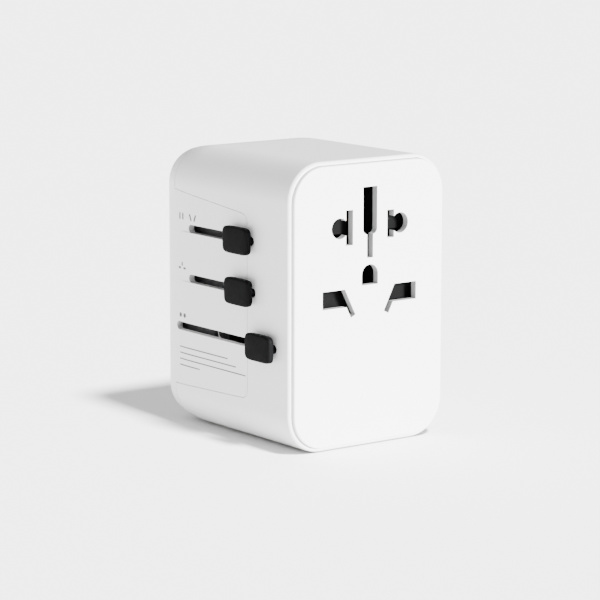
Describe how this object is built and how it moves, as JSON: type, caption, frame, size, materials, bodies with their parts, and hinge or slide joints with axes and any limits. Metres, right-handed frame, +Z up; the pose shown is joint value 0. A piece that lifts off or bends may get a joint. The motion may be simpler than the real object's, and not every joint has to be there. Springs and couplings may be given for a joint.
{
  "type": "universal travel adapter",
  "caption": "Plug adapter box with a combined socket face and US/AU, UK and EU plugs that side knobs slide out of its back; the flat blades twist.",
  "frame": {"origin": "centre of the flat base, midway between the socket face and the back, on the socket's centre line", "axes": "+Z up; -Y out of the socket face, +Y the way the plugs slide out of the back; -X the side with the slider knobs"},
  "size_m": [0.0521, 0.0568, 0.073],
  "materials": {
    "white_plastic": "satin white moulded plastic, fine grain",
    "knob_plastic": "black soft satin plastic",
    "black_plastic": "black moulded plastic",
    "grey_plastic": "dark grey moulded plastic",
    "nickel_plate": "satin nickel plate on brass",
    "contact_brass": "stamped brass strip",
    "screw_steel": "zinc-plated steel",
    "spring_steel": "drawn steel wire",
    "fuse_ceramic": "unglazed white ceramic"
  },
  "bodies": {
    "housing": {"main_shell": "white_plastic", "front_cover": "white_plastic", "rear_cover": "white_plastic", "case_screw_1": "screw_steel", "case_screw_2": "screw_steel", "case_screw_3": "screw_steel", "case_screw_4": "screw_steel", "slide_frame": "grey_plastic", "contact_block": "black_plastic", "live_contact": "contact_brass", "neutral_contact": "contact_brass", "live_bus": "contact_brass", "neutral_bus": "contact_brass", "shutter_spring": "spring_steel", "fuse_tube": "fuse_ceramic", "fuse_cap_front": "nickel_plate", "fuse_cap_rear": "nickel_plate", "fuse_clip_front": "contact_brass", "fuse_clip_rear": "contact_brass"},
    "us_slider": {"us_knob": "knob_plastic", "us_carriage": "black_plastic"},
    "us_left": {"us_blade_left": "nickel_plate"},
    "us_right": {"us_blade_right": "nickel_plate"},
    "uk_slider": {"uk_knob": "knob_plastic", "uk_carriage": "black_plastic", "uk_pin_live": "nickel_plate", "uk_pin_neutral": "nickel_plate", "uk_pin_earth": "black_plastic"},
    "eu_slider": {"eu_knob": "knob_plastic", "eu_carriage": "black_plastic", "eu_pin_left": "nickel_plate", "eu_pin_right": "nickel_plate"},
    "shutter": {"safety_shutter": "black_plastic"}
  },
  "joints": [
    {"name": "us_slide", "type": "slide", "parent": "housing", "child": "us_slider", "axis": [0, 1, 0], "range_m": [0, 0.0225]},
    {"name": "us_left_twist", "type": "hinge", "parent": "us_slider", "child": "us_left", "pos_m": [-0.00635, 0, 0.0523], "axis": [0, -1, 0], "range_deg": [0, 30]},
    {"name": "us_right_twist", "type": "hinge", "parent": "us_slider", "child": "us_right", "pos_m": [0.00635, 0, 0.0523], "axis": [0, 1, 0], "range_deg": [0, 30]},
    {"name": "uk_slide", "type": "slide", "parent": "housing", "child": "uk_slider", "axis": [0, 1, 0], "range_m": [0, 0.0225]},
    {"name": "eu_slide", "type": "slide", "parent": "housing", "child": "eu_slider", "axis": [0, 1, 0], "range_m": [0, 0.0375]},
    {"name": "shutter_slide", "type": "slide", "parent": "housing", "child": "shutter", "axis": [0, 0, -1], "range_m": [0, 0.006], "stiffness_N_per_m": 60, "springref_m": -0.008, "deforming": ["shutter_spring"]}
  ]
}
